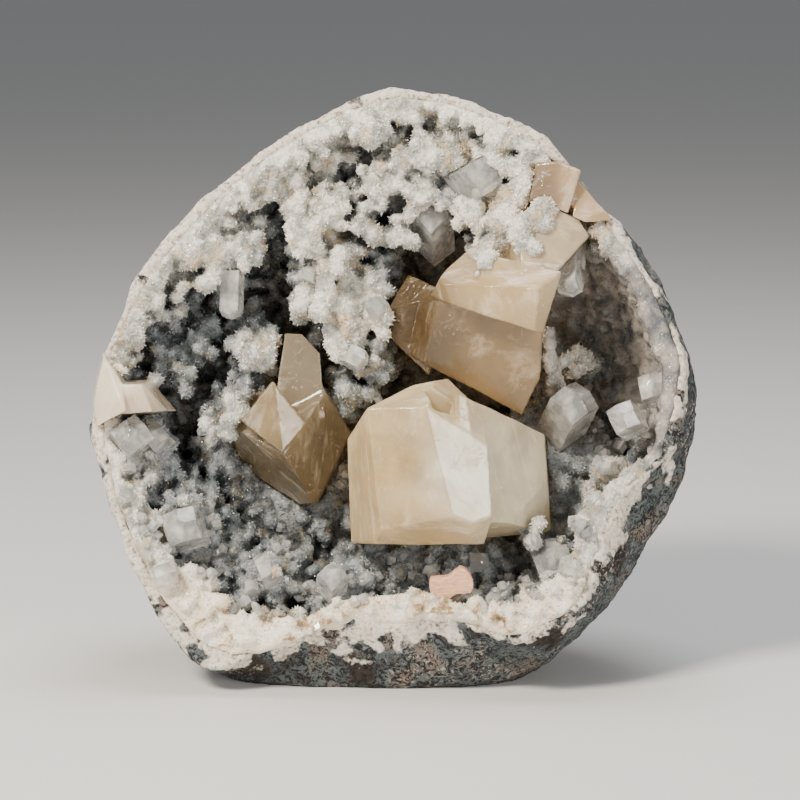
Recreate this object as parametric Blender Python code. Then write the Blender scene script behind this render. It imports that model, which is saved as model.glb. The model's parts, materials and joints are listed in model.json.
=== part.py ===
# Calcite with apophyllite geode: an opened rock nodule, lined with a chalcedony and druse
# crust, with large calcite crystals, clear apophyllites and one small stilbite tuft.
# Metres, +Z up. The origin is on the flat base, under the nodule's middle, X to the right of
# the open mouth and +Y away from it, so that the mouth faces -Y.
import random
from math import acos, atan2, cos, degrees, hypot, pi, radians, sin

import bmesh
import bpy
from mathutils import Matrix, Vector, noise

MM = 0.001
GAP = 0.3 * MM  # between pieces that touch

# The nodule: its middle above the base, and its half depths from the widest section
MIDDLE = Vector((0, -8, 118)) * MM
ROUNDNESS = 2.3  # 2 is an ellipse, and more is squarer
NODULE_BACK = 88 * MM
CAVITY_BACK = 74 * MM
HOLLOW_BACK = 58 * MM

# Radii in mm seen from the front, by the angle in degrees from +X towards +Z.
# Widest outline of the rock:
NODULE_RADIUS = {
    0: 125, 15: 121, 30: 119, 45: 117, 60: 124, 75: 126, 90: 128, 105: 120,
    120: 115, 135: 113, 150: 115, 165: 118.5, 180: 124.5, 210: 128, 225: 133.5,
    240: 137, 255: 137, 270: 138, 285: 134, 300: 129, 315: 125.5, 330: 123.5,
}
# Outer edge of the broken rim, which is well inside the outline at the bottom and right:
RIM_RADIUS = {
    15: 121, 30: 119, 45: 117, 60: 124, 75: 126, 90: 128, 105: 120, 120: 115,
    135: 113, 150: 115, 165: 118.5, 180: 124.5, 205: 127, 232: 133, 238: 122,
    244: 110, 250: 99, 257: 91, 265: 89, 280: 88, 290: 94, 302: 109, 312: 110,
    320: 105, 328: 98, 338: 98, 345: 107, 352: 114,
}
ROCK_AT_RIM = 2.8 * MM
# Thickness of the crust on the broken rim, which is thickest along the bottom:
CRUST_AT_RIM = {
    0: 3, 45: 2.5, 90: 2, 180: 2, 215: 4, 235: 6, 250: 9, 270: 9.5, 290: 9, 310: 9, 330: 8, 345: 5,
}
# Widest radius of the rock's cavity and of the hollow that the crust leaves:
CAVITY_RADIUS = {
    0: 120.5, 30: 115, 45: 113, 60: 119.5, 90: 123.5, 105: 116, 120: 111, 135: 109, 150: 111,
    180: 120.5, 210: 123, 225: 126, 240: 125, 255: 116, 270: 107, 300: 112, 330: 116,
}
HOLLOW_RADIUS = {
    0: 114, 30: 109, 60: 114, 90: 118.5, 105: 111, 120: 106, 135: 104, 150: 106, 180: 115,
    210: 116, 225: 114, 240: 106, 255: 97, 270: 91, 300: 96, 330: 107,
}

# Each form's segments around and rings from front to back
NODULE_GRID = (48, 20)
CAVITY_GRID = (36, 14)
HOLLOW_GRID = (44, 16)
NODULE_ROUGH = (3 * MM, 24 * MM)  # height and spread of its bumps
HOLLOW_ROUGH = (5 * MM, 8 * MM)
CRUST_INSET = 1.3 * GAP  # keeps the gap between crust and rock where the form is curved

# The mouth: a rough plane, given by how far it lies forward and how it leans
MOUTH_Y = -22 * MM
MOUTH_LEAN_X = -0.10
MOUTH_LEAN_Z = 0.27
MOUTH_ROUGH = (1.6 * MM, 16 * MM)
BEYOND = 200 * MM  # clear of the nodule on every side, for the tools that cut it

# Calcite crystals. A block is a middle in mm and its cut faces, each by the direction that
# the face looks in (azimuth from +X, elevation, in degrees) and its distance in mm.
CALCITE_FRONT = {
    "main": ((11, -15, 90), {
        "left_front": (-109, 3, 30), "mid_front": (-73, 12, 35.5),
        "left_side": (-152, -3, 28), "bottom_strip": (-97, -38, 36),
        "top_left": (-118, 63, 38.5), "top_right": (-40, 44, 36.5),
        "shoulder": (167, 38, 29.5), "top_left_back": (155, 59, 29),
        "top_back": (130, 71, 31), "top_right_back": (19, 43, 31.5),
        "bottom": (-89, -79, 32), "back": (84, 6, 46), "left_back": (176, -2, 29),
        "right_back": (14, 0, 20.5), "low_right": (-57, -39, 42.5),
    }),
    "twin": ((45, -5, 82), {
        "right_front": (-45, 12, 22), "top": (26, 64, 24), "right_side": (-3, 4, 19.5),
        "corner": (-34, -9, 22), "bottom_strip": (-75, -65, 24), "bottom": (63, -84, 21.5),
        "mid_front": (-73, 12, 36.5), "back": (96, 6, 36), "left": (180, 0, 18.5),
    }),
}
FRONT_NOTCH = ((18, -36, 117), {
    "left": (-160, 5, 5), "right": (-10, 5, 5.5), "low": (-95, -60, 3), "floor": (90, 10, 3),
    "top": (90, 80, 9), "front": (-90, 0, 9),
})
CALCITE_LEFT = {
    "tall": ((-39, 5, 122), {
        "front": (-86, 18, 13), "right_front": (-95, 14, 10.5), "top": (74, 80, 19.5),
        "right_top": (14, 39, 13), "right": (4, 4, 9), "left": (179, 7, 8.5),
        "bottom": (-90, -73, 17), "back": (90, 0, 45),
    }),
    "body": ((-39, 10, 104), {
        "right_front": (-46, -4, 19.5), "lower_left": (-140, -38, 25),
        "upper_front": (-110, 38, 20), "right_low": (-8, -24, 21.5),
        "right_up": (0, 28, 17), "left": (-174, -15, 29), "lower": (-167, -58, 30),
        "bottom": (-39, -75, 34.5), "top": (108, 72, 12), "left_top": (164, 40, 20),
        "back": (90, 0, 36),
    }),
    "small": ((-47, -8, 108), {
        "front_left": (-116, 9, 14.5), "front_right": (-69, 15, 15),
        "top_right": (18, 36, 6), "bottom_right": (5, -42, 7.5),
        "bottom_left": (-176, -55, 8.5), "top_left": (162, 40, 10.5), "back": (90, 0, 12),
    }),
}
CALCITE_CLUSTER = {
    "amber": ((38, 5, 129), {
        "front": (-88, -8, 18), "left_front": (-157, 10, 31.5), "low_left": (-169, -61, 10.5),
        "low_right": (-1, -24, 22), "right": (0, -2, 22.5), "top": (142, 72, 30),
        "top_back": (82, 80, 31), "left_back": (176, 1, 30), "back": (90, 0, 44),
    }),
    "brown": ((9, 15, 146), {
        "front": (-109, 2, 15), "front_top": (-121, 36, 16.5), "top": (168, 29, 11),
        "top_right": (24, 57, 14.5), "left": (171, 26, 11), "low": (-177, -48, 11.5),
        "right": (0, -6, 8), "back": (90, 0, 36),
    }),
    "middle": ((43, -8, 162), {
        "front": (-103, -5, 21.5), "top_front": (-102, 48, 18), "top_back": (45, 65, 10.5),
        "right_front": (-57, -7, 29.5), "right_side": (-4, -16, 22.5),
        "low_left": (-140, -17, 25.5), "low": (-174, -73, 9.5), "left": (167, 31, 21),
        "top_left": (160, 41, 19), "back": (90, 11, 30),
    }),
    "upper": ((65, 0, 180), {
        "front": (-74, 28, 18), "front_low": (-77, 4, 23), "top": (24, 65, 13),
        "right_top": (4, 30, 14.5), "right": (-11, -40, 10), "left": (-169, 0, 18),
        "low": (0, -90, 17), "top_left": (167, 46, 16.5), "back": (90, 0, 20),
    }),
    "right": ((77, 5, 152), {
        "front_left": (-128, 6, 14), "front_right": (-33, -2, 10), "right_low": (-3, -18, 4.5),
        "right_up": (5, 18, 7), "top": (56, 75, 15), "left": (180, 6, 8),
        "low": (-170, -74, 14), "back": (90, 0, 26),
    }),
}
CALCITE_RIM_RIGHT = {
    "grey": ((65, 0, 202), {
        "front": (-108, 11, 10), "left": (175, 10, 8), "low": (176, -71, 5),
        "right": (-3, -16, 9), "top": (117, 76, 11), "top_right": (21, 64, 11.5),
        "back": (90, 0, 10),
    }),
    "beige": ((81, 0, 195), {
        "front": (-89, 25, 11.5), "right": (8, 40, 3), "low": (175, -66, 4.5),
        "low_right": (-23, -86, 4.5), "left": (180, 6, 7.5), "tip": (-6, -11, 9.5),
        "back": (90, 0, 5),
    }),
}
CALCITE_RIM_LEFT = {
    "big": ((-118, -10, 120), {
        "front": (-126, 21, 7.5), "inner": (-55, 44, 11.5), "inner_low": (2, 14, 7.5),
        "outer": (-172, 14, 5), "low_left": (-173, -8, 6.5), "low": (-11, -60, 10.5),
        "top": (5, 36, 8), "back": (90, 0, 7),
    }),
    "side": ((-105, -8, 117), {
        "front": (-108, 12, 14), "front_right": (-20, 28, 9.5), "top_right": (2, 39, 6.5),
        "top": (101, 84, 6.5), "low": (-69, -78, 6.5), "low_right": (-54, -76, 7),
        "left": (180, 0, 9), "back": (90, 0, 14),
    }),
}

# Apophyllites: middle in mm, the way that the point looks (azimuth, elevation), width and
# length in mm, turn about the axis in degrees
PRISM_CORNER = 0.66  # height of the pointed end over the prism's width
PRISM_TIP = 0.08  # how far the point's faces lie beyond the prism's end, over its width
APOPHYLLITES = {
    "apophyllite_lower_left": ((-86, -19, 64), (-100, 22), 14, 22, 20),
    "apophyllite_upper_left": ((-108, -14, 101), (-80, 25), 13, 20, 35),
    "apophyllite_hanging": ((-67, 5, 158), (-95, -72), 8, 20, 10),
    "apophyllite_top": ((34, 2, 207), (-62, 12), 13, 24, 30),
    "apophyllite_floor_left": ((-51, -25, 48), (-95, 35), 9, 16, 25),
    "apophyllite_floor_middle": ((-25, -29, 44), (-85, 38), 9.5, 18, 40),
    "apophyllite_right_low": ((96, -20, 110), (-110, 20), 11, 20, 30),
    "apophyllite_right": ((107, -17, 122), (-105, 25), 10, 18, 15),
    "apophyllite_behind_calcite": ((72, 6, 104), (-75, 40), 15, 44, 30),
    "apophyllite_blade": ((73, -8, 172), (-98, -40), 9, 30, 20),
    "apophyllite_floor_right": ((66, -24, 50), (-100, 40), 15, 24, 25),
    "apophyllite_rim_left": ((-91, -20, 46), (-105, 15), 8, 18, 30),
    "apophyllite_grey": ((17, 14, 184), (-95, 40), 12, 30, 45),
}

# Hanging fingers of druse: where each is rooted (x, z), its tip (x, y, z), and its radius
# at the root and at the tip, in mm. The wall's depth gives the root's y.
FINGER_BULGE = 0.22  # share of the radius
FINGER_BULGE_SPACING = 2.2 * MM
FINGER_CAP = 0.5  # height of its blunt ends over its radius
FINGERS = (
    ((-41, 204), (-35, 2, 178), 9, 6), ((-30, 206), (-26, 4, 188), 8, 5),
    ((-76, 184), (-84, 0, 172), 6, 5), ((-72, 182), (-74, 1, 167), 7, 5),
    ((-62, 186), (-64, 3, 173), 7, 5), ((-84, 172), (-89, 3, 162), 5, 4),
    ((-18, 183), (-20, -4, 134), 12, 6), ((-9, 180), (-7, 0, 145), 11, 6),
    ((-29, 180), (-32, 1, 152), 11, 6), ((-24, 192), (-24, 4, 168), 10, 8),
    ((-70, 205), (-64, -4, 192), 8, 7), ((-86, 192), (-82, -6, 181), 8, 7),
    ((-98, 176), (-97, -6, 166), 7, 6), ((-55, 214), (-52, -2, 202), 8, 7),
    ((-40, 222), (-40, -2, 210), 8, 7), ((-24, 228), (-23, 0, 216), 8, 7),
    ((-10, 231), (-9, 2, 222), 8, 7), ((40, 220), (40, -4, 210), 8, 7),
    ((56, 210), (55, -6, 203), 8, 7), ((48, 208), (46, -10, 190), 8, 6),
    ((34, 206), (32, -4, 192), 8, 6), ((-108, 152), (-106, -4, 140), 6, 5),
    ((-64, 150), (-54, 0, 128), 6, 5), ((-58, 132), (-64, -9, 109), 7, 7),
    ((-66, 116), (-75, -12, 103), 7, 5),
    ((3, 222), (3, 6, 210), 8, 7), ((15, 224), (15, 4, 213), 8, 6),
    ((27, 222), (27, 6, 211), 8, 6), ((-5, 212), (-6, 7, 199), 8, 6),
    ((11, 210), (11, 3, 196), 8, 6), ((24, 208), (22, 4, 197), 7, 6),
    ((3, 196), (3, 5, 182), 8, 6), ((-12, 202), (-13, 8, 186), 8, 6),
    ((36, 200), (36, -2, 188), 7, 5), ((44, 196), (44, -6, 180), 7, 5),
    ((54, 202), (54, -3, 189), 7, 5), ((42, 186), (40, -9, 176), 6, 5),
    ((-97, 142), (-98, 9, 121), 4, 4), ((-88, 142), (-88, 9, 121), 4, 4),
    ((-94, 160), (-94, 12, 147), 4, 4), ((-82, 148), (-81, 16, 134), 5, 5),
    ((-100, 156), (-103, 6, 146), 5, 4), ((-100, 168), (-98, 10, 158), 5, 4),
    ((62, 52), (58, -33, 66), 7, 3), ((-14, 112), (-18, 0, 117), 8, 6),
    ((-8, 126), (-9, 0, 128), 8, 6), ((-22, 98), (-25, 2, 97), 7, 5),
    ((88, 62), (84, -28, 76), 7, 4), ((92, 76), (90, -22, 90), 7, 4),
)

# Lumps of crust that carry the crystals: middle and half sizes in mm
MOUNDS = (
    ((22, 20, 34), (56, 40, 28)), ((-36, 34, 62), (40, 28, 32)), ((66, 26, 74), (34, 30, 34)),
    ((-90, 10, 64), (17, 24, 19)), ((-76, 10, 46), (20, 24, 15)), ((-104, 8, 86), (12, 18, 18)),
    ((-50, 4, 38), (22, 24, 13)), ((-22, 0, 32), (22, 26, 13)), ((-66, 26, 82), (18, 18, 16)),
)
MOUND_ROUGH = (5 * MM, 9 * MM)

KNOBS = 44  # small round lumps over the hollow's wall
KNOB_RADIUS = (3.5 * MM, 6 * MM)
SMALL_CRYSTALS = 22  # small apophyllites grown fast to the floor and the lower walls
SMALL_WIDTH = (4.5 * MM, 9 * MM)
SEED = 11

# The stilbite tuft: middle and size of its blades in mm, how far each is fanned out and the
# whole fan is tilted, and the slope of a blade's pointed end, in degrees
TUFT_MIDDLE = (24, -42, 46)
TUFT_BLADE = (17, 5, 7.5)
TUFT_ANGLES = (-18, -9, 0, 9, 18)
TUFT_TILT = -22
TUFT_POINT = 32
TUFT_TAPER = 0.04 * MM  # how much thinner a blade is for each degree that it is fanned out

COLOURS = {
    "basalt_rock": ((0.16, 0.17, 0.15), 0.85, 0.0),
    "chalcedony_druse": ((0.62, 0.64, 0.64), 0.55, 0.0),
    "honey_calcite": ((0.66, 0.58, 0.40), 0.25, 0.3),
    "amber_calcite": ((0.60, 0.46, 0.28), 0.25, 0.3),
    "clear_apophyllite": ((0.80, 0.84, 0.84), 0.10, 0.7),
    "pink_stilbite": ((0.75, 0.52, 0.42), 0.45, 0.0),
}


def clear_scene():
    for obj in list(bpy.data.objects):
        bpy.data.objects.remove(obj)


def new_collection(name):
    collection = bpy.data.collections.new(name)
    bpy.context.scene.collection.children.link(collection)
    return collection


def make_material(name):
    colour, roughness, transmission = COLOURS[name]
    material = bpy.data.materials.new(name)
    material.use_nodes = True
    shader = material.node_tree.nodes["Principled BSDF"]
    shader.inputs["Base Color"].default_value = (*colour, 1)
    shader.inputs["Roughness"].default_value = roughness
    shader.inputs["Metallic"].default_value = 0
    shader.inputs["Transmission Weight"].default_value = transmission
    return material


def to_object(bm, name, collection, material=None):
    mesh = bpy.data.meshes.new(name)
    bm.to_mesh(mesh)
    bm.free()
    obj = bpy.data.objects.new(name, mesh)
    collection.objects.link(obj)
    if material:
        mesh.materials.append(material)
    else:
        obj.hide_render = True
        obj.display_type = "WIRE"
    return obj


def combine(obj, tools, operation, solver="EXACT"):
    for tool in tools:
        modifier = obj.modifiers.new(operation.title(), "BOOLEAN")
        modifier.operation = operation
        modifier.solver = solver
        modifier.object = tool


def largest_body(bm):
    # A cut can leave crumbs loose from the piece, and closed bubbles in it. They go.
    unseen = set(bm.faces)
    bodies = []
    while unseen:
        body = set()
        waiting = [next(iter(unseen))]
        while waiting:
            face = waiting.pop()
            if face not in body:
                body.add(face)
                waiting += [near for edge in face.edges for near in edge.link_faces]
        unseen -= body
        bodies.append(body)
    bodies.sort(key=len)
    crumbs = [face for body in bodies[:-1] for face in body]
    bmesh.ops.delete(bm, geom=crumbs, context="FACES")


def settle(obj):
    # Applies the modifiers to the object's own mesh and keeps its one main body.
    graph = bpy.context.evaluated_depsgraph_get()
    graph.update()
    mesh = bpy.data.meshes.new_from_object(obj.evaluated_get(graph))
    bm = bmesh.new()
    bm.from_mesh(mesh)
    largest_body(bm)
    bmesh.ops.triangulate(bm, faces=bm.faces[:])
    bm.to_mesh(mesh)
    bm.free()
    obj.modifiers.clear()
    obj.data = mesh


def around(table, angle):
    # Reads a radius in metres from a table of degrees and mm, smoothly between its points.
    angle %= 360
    marks = sorted(table)
    after = next((i for i, mark in enumerate(marks) if mark > angle), 0)
    places = [marks[(after + step) % len(marks)] for step in (-2, -1, 0, 1)]
    before, low, high, beyond = (table[place] for place in places)
    share = ((angle - places[1]) % 360) / ((places[2] - places[1]) % 360)
    bend = (
        2 * low
        + (high - before) * share
        + (2 * before - 5 * low + 4 * high - beyond) * share**2
        + (3 * low - before - 3 * high + beyond) * share**3
    )
    return bend / 2 * MM


def mouth_y(x, z):
    return MOUTH_Y + MOUTH_LEAN_X * x + MOUTH_LEAN_Z * (z - MIDDLE.z)


def front_depth(angle, wide, rim):
    # How far the front half reaches, so that it has the rim's radius at the mouth.
    turn = radians(angle)
    forward = MIDDLE.y - mouth_y(rim * cos(turn), MIDDLE.z + rim * sin(turn))
    share = min(rim / wide, 0.985)
    return max(forward, 4 * MM) / (1 - share**ROUNDNESS) ** (1 / ROUNDNESS)


def nodule_mesh(radius, back, rim_inset, grid, bumps=(0, 1)):
    # A sphere with its poles at the front and back, pushed out to the nodule's form. The rim
    # inset is a function of the angle, from the rock's outer edge to this form's edge.
    segments, rings = grid
    rough, grain = bumps
    bm = bmesh.new()
    upright = Matrix.Rotation(radians(-90), 4, "X")
    bmesh.ops.create_uvsphere(
        bm, u_segments=segments, v_segments=rings, radius=1, matrix=upright
    )
    bmesh.ops.triangulate(bm, faces=bm.faces[:], quad_method="FIXED")
    for vertex in bm.verts:
        x, y, z = vertex.co
        angle = degrees(atan2(z, x))
        wide = around(radius, angle)
        rim = min(around(RIM_RADIUS, angle) - rim_inset(angle), wide)
        from_pole = acos(max(-1, min(1, y)))
        across = wide * sin(from_pole) ** (2 / ROUNDNESS)
        depth = abs(cos(from_pole)) ** (2 / ROUNDNESS)
        depth *= back if y > 0 else -front_depth(angle, wide, rim)
        flat = hypot(x, z) or 1
        place = Vector((across * x / flat, depth, across * z / flat))
        bump = noise.noise(place / grain) * rough
        vertex.co = MIDDLE + place + place.normalized() * bump
    return bm


def outer_rim(angle):
    return 0


def rock_rim(angle):
    return ROCK_AT_RIM


def crust_rim(angle):
    return ROCK_AT_RIM + around(CRUST_AT_RIM, angle)


def wall_y(x, z):
    # Depth of the hollow's wall behind a point seen from the front.
    angle = degrees(atan2(z - MIDDLE.z, x))
    share = min(hypot(x, z - MIDDLE.z) / around(HOLLOW_RADIUS, angle), 0.999)
    return MIDDLE.y + HOLLOW_BACK * (1 - share**ROUNDNESS) ** (1 / ROUNDNESS)


def mouth_cutter():
    # Everything in front of the broken mouth, as a rough sheet pulled forward.
    bm = bmesh.new()
    rough, grain = MOUTH_ROUGH
    bmesh.ops.create_grid(bm, x_segments=22, y_segments=22, size=BEYOND)
    for vertex in bm.verts:
        x, z = vertex.co.x, vertex.co.y + MIDDLE.z
        bump = noise.noise(Vector((x, z, 0)) / grain) * rough
        vertex.co = (x, mouth_y(x, z) + bump, z)
    front = bmesh.ops.extrude_face_region(bm, geom=bm.faces[:])["geom"]
    verts = [item for item in front if isinstance(item, bmesh.types.BMVert)]
    for vertex in verts:
        vertex.co.y = -BEYOND
    bmesh.ops.recalc_face_normals(bm, faces=bm.faces[:])
    return to_object(bm, "mouth_cutter", cutters)


def direction(azimuth, elevation):
    turn, lift = radians(azimuth), radians(elevation)
    return Vector((cos(turn) * cos(lift), sin(turn) * cos(lift), sin(lift)))


def cut_flat(bm, point, outwards):
    geom = bm.verts[:] + bm.edges[:] + bm.faces[:]
    bmesh.ops.bisect_plane(
        bm, geom=geom, dist=1e-7, plane_co=point, plane_no=outwards, clear_outer=True
    )
    open_edges = [edge for edge in bm.edges if edge.is_boundary]
    if open_edges:
        bmesh.ops.edgeloop_fill(bm, edges=open_edges)
        bmesh.ops.recalc_face_normals(bm, faces=bm.faces[:])


def block_mesh(block, grow=0.0):
    # A cube cut by one plane for each face of the crystal.
    middle, faces = block
    bm = bmesh.new()
    bmesh.ops.create_cube(bm, size=BEYOND)
    for azimuth, elevation, distance in faces.values():
        outwards = direction(azimuth, elevation)
        cut_flat(bm, outwards * (distance * MM + grow), outwards)
    bmesh.ops.translate(bm, verts=bm.verts[:], vec=Vector(middle) * MM)
    return bm


def calcite(name, blocks, material):
    # The grown-together blocks of one calcite, as one solid.
    first, *others = blocks.items()
    obj = to_object(block_mesh(first[1]), name, solids, material)
    tools = [
        to_object(block_mesh(block), f"{name}_{block_name}", cutters)
        for block_name, block in others
    ]
    combine(obj, tools, "UNION")
    return obj


def seats_of(name, blocks):
    # The blocks grown by the gap, which cut the place where a calcite sits.
    return [
        to_object(block_mesh(block, GAP), f"{name}_{block_name}_seat", cutters)
        for block_name, block in blocks.items()
    ]


def apophyllite_mesh(middle, outwards, width, length, turn, grow=0.0):
    # A square prism with a four-sided point whose faces stand over the prism's edges, and a
    # small flat at the tip. All sizes are in metres.
    bm = bmesh.new()
    bmesh.ops.create_cube(bm, size=1)
    size = (width + 2 * grow, width + 2 * grow, length + 2 * grow)
    bmesh.ops.scale(bm, verts=bm.verts[:], vec=size)
    tip = length / 2 + grow
    slope = Vector((cos(pi / 4), sin(pi / 4), 1 / PRISM_CORNER)).normalized()
    for quarter in range(4):
        face = Matrix.Rotation(pi / 2 * quarter, 3, "Z") @ slope
        cut_flat(bm, Vector((0, 0, tip + PRISM_TIP * width)), face)
    axis = outwards.to_track_quat("Z", "Y").to_matrix().to_4x4()
    place = Matrix.Translation(middle) @ axis @ Matrix.Rotation(turn, 4, "Z")
    bmesh.ops.transform(bm, matrix=place, verts=bm.verts[:])
    return bm


def apophyllite(row, grow=0.0):
    middle, (azimuth, elevation), width, length, turn = row
    return apophyllite_mesh(
        Vector(middle) * MM, direction(azimuth, elevation),
        width * MM, length * MM, radians(turn), grow,
    )


def finger_mesh(root, tip, root_radius, tip_radius):
    # A stalactite finger: a blunt sphere drawn out from root to tip, with bulges along it.
    bm = bmesh.new()
    bmesh.ops.create_uvsphere(bm, u_segments=5, v_segments=5, radius=1)
    run = tip - root
    axis = run.to_track_quat("Z", "Y").to_matrix()
    for vertex in bm.verts:
        x, y, z = vertex.co
        share = (z + 1) / 2
        radius = root_radius + (tip_radius - root_radius) * share
        radius *= 1 + FINGER_BULGE * sin(share * run.length / FINGER_BULGE_SPACING)
        blunt = max(hypot(x, y), 0.1) ** -0.6
        side = axis @ Vector((x, y, 0)) * blunt
        cap = Vector(axis @ Vector((0, 0, z))) * radius * FINGER_CAP
        vertex.co = root + run * share + side * radius + cap
    return bm


def ball_mesh(middle, sizes, fineness):
    bm = bmesh.new()
    place = Matrix.Translation(middle) @ Matrix.Diagonal((*sizes, 1))
    bmesh.ops.create_icosphere(bm, subdivisions=fineness, radius=1, matrix=place)
    return bm


def tuft_mesh(grow=0.0):
    # A wheat sheaf of flat blades, fanned about the tuft's middle. Blades share no faces.
    blades = []
    for angle in TUFT_ANGLES:
        bm = bmesh.new()
        bmesh.ops.create_cube(bm, size=1)
        length, deep, thick = (size * MM + 2 * grow for size in TUFT_BLADE)
        deep -= abs(angle) * TUFT_TAPER
        bmesh.ops.scale(bm, verts=bm.verts[:], vec=(length, deep, thick))
        for side in (1, -1):
            outwards = direction(0, TUFT_POINT * side)
            cut_flat(bm, Vector((length / 2, 0, thick / 4 * side)), outwards)
        fan = Matrix.Rotation(radians(angle + TUFT_TILT), 4, "Y")
        place = Matrix.Translation(Vector(TUFT_MIDDLE) * MM) @ fan
        bmesh.ops.transform(bm, matrix=place, verts=bm.verts[:])
        blades.append(bm)
    return blades


def rock_shell(mouth, seats):
    bm = nodule_mesh(NODULE_RADIUS, NODULE_BACK, outer_rim, NODULE_GRID, NODULE_ROUGH)
    cut_flat(bm, Vector((0, 0, 0)), Vector((0, 0, -1)))
    shell = to_object(bm, "rock_shell", solids, make_material("basalt_rock"))
    cavity = nodule_mesh(CAVITY_RADIUS, CAVITY_BACK, rock_rim, CAVITY_GRID)
    tools = [to_object(cavity, "cavity_cutter", cutters), mouth, *seats]
    combine(shell, tools, "DIFFERENCE", "MANIFOLD")
    settle(shell)


def wall_place(angle, share):
    # A point of the hollow's wall, and the way from it into the hollow.
    turn = radians(angle)
    radius = around(HOLLOW_RADIUS, angle) * share
    x, z = radius * cos(turn), MIDDLE.z + radius * sin(turn)
    place = Vector((x, wall_y(x, z), z))
    return place, (MIDDLE - place).normalized()


def mounds():
    rough, grain = MOUND_ROUGH
    for middle, sizes in MOUNDS:
        bm = ball_mesh(Vector(middle) * MM, Vector(sizes) * MM, 2)
        for vertex in bm.verts:
            vertex.co += vertex.normal * noise.noise(vertex.co / grain) * rough
        yield to_object(bm, "mound", cutters)


def fingers():
    for (x, z), tip, root_radius, tip_radius in FINGERS:
        root = Vector((x * MM, wall_y(x * MM, z * MM) + 1.5 * MM, z * MM))
        bm = finger_mesh(root, Vector(tip) * MM, root_radius * MM, tip_radius * MM)
        yield to_object(bm, "finger", cutters)


def knobs(chance):
    for _ in range(KNOBS):
        radius = chance.uniform(*KNOB_RADIUS)
        place, inwards = wall_place(chance.uniform(0, 360), chance.uniform(0.3, 0.97))
        if place.y - radius > mouth_y(place.x, place.z):
            bm = ball_mesh(place + inwards * radius * 0.3, (radius,) * 3, 1)
            yield to_object(bm, "knob", cutters)


def small_crystals(chance):
    for _ in range(SMALL_CRYSTALS):
        width = chance.uniform(*SMALL_WIDTH)
        place, inwards = wall_place(chance.uniform(200, 340), chance.uniform(0.55, 0.99))
        lean = Vector((chance.uniform(-0.5, 0.5), -0.8, chance.uniform(0, 0.6)))
        outwards = (inwards + lean).normalized()
        if place.y - width > mouth_y(place.x, place.z):
            bm = apophyllite_mesh(place, outwards, width, 2 * width, chance.uniform(0, 1))
            yield to_object(bm, "small_crystal", cutters)


def crystal_crust(mouth, seats):
    # What fills the cavity, less the free space in it and the seats of the large crystals.
    # So many small overlapping shapes leave pinched edges with the exact solver.
    envelope = nodule_mesh(CAVITY_RADIUS, CAVITY_BACK, rock_rim, CAVITY_GRID)
    envelope.normal_update()
    for vertex in envelope.verts:
        vertex.co -= vertex.normal * CRUST_INSET
    crust = to_object(envelope, "crystal_crust", solids, make_material("chalcedony_druse"))
    hollow = nodule_mesh(HOLLOW_RADIUS, HOLLOW_BACK, crust_rim, HOLLOW_GRID, HOLLOW_ROUGH)
    space = to_object(hollow, "free_space", cutters)
    chance = random.Random(SEED)
    growths = [*mounds(), *fingers(), *knobs(chance), *small_crystals(chance)]
    combine(space, [mouth], "UNION", "MANIFOLD")
    combine(space, growths, "DIFFERENCE", "MANIFOLD")
    combine(crust, [space, *seats], "DIFFERENCE", "MANIFOLD")
    settle(crust)


def stilbite_tuft():
    # Returns the seats that its blades need in the crust.
    first, *others = tuft_mesh()
    tuft = to_object(first, "stilbite_tuft", solids, make_material("pink_stilbite"))
    combine(tuft, [to_object(blade, "blade", cutters) for blade in others], "UNION")
    settle(tuft)
    return [to_object(blade, "blade_seat", cutters) for blade in tuft_mesh(GAP)]


def build():
    mouth = mouth_cutter()
    honey, amber = make_material("honey_calcite"), make_material("amber_calcite")
    clear = make_material("clear_apophyllite")

    front = calcite("calcite_front", CALCITE_FRONT, honey)
    notch = to_object(block_mesh(FRONT_NOTCH), "front_notch", cutters)
    combine(front, [notch], "DIFFERENCE")
    left = calcite("calcite_left", CALCITE_LEFT, honey)
    cluster = calcite("calcite_cluster", CALCITE_CLUSTER, amber)
    rim_right = calcite("calcite_rim_right", CALCITE_RIM_RIGHT, amber)
    rim_left = calcite("calcite_rim_left", CALCITE_RIM_LEFT, honey)
    seats = seats_of("front", CALCITE_FRONT)
    combine(left, seats, "DIFFERENCE")
    combine(cluster, seats, "DIFFERENCE")
    seats += seats_of("left", CALCITE_LEFT) + seats_of("cluster", CALCITE_CLUSTER)
    combine(rim_right, seats, "DIFFERENCE")
    rim_seats = seats_of("rim_right", CALCITE_RIM_RIGHT) + seats_of("rim_left", CALCITE_RIM_LEFT)
    seats += rim_seats
    for obj in (front, left, cluster, rim_right, rim_left):
        settle(obj)

    for name, row in APOPHYLLITES.items():
        crystal = to_object(apophyllite(row), name, solids, clear)
        combine(crystal, seats, "DIFFERENCE")
        settle(crystal)
        seat = to_object(apophyllite(row, GAP), f"{name}_seat", cutters)
        seats.append(seat)
        rim_seats.append(seat)
    seats += stilbite_tuft()
    rock_shell(mouth, rim_seats)
    crystal_crust(mouth, seats)


clear_scene()
solids = new_collection("Calcite_apophyllite_geode")
cutters = new_collection("Cutters")
build()
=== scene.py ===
import json
import math
import random

import bpy
import numpy as np
from mathutils import Matrix, Vector
from mathutils.bvhtree import BVHTree

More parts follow.
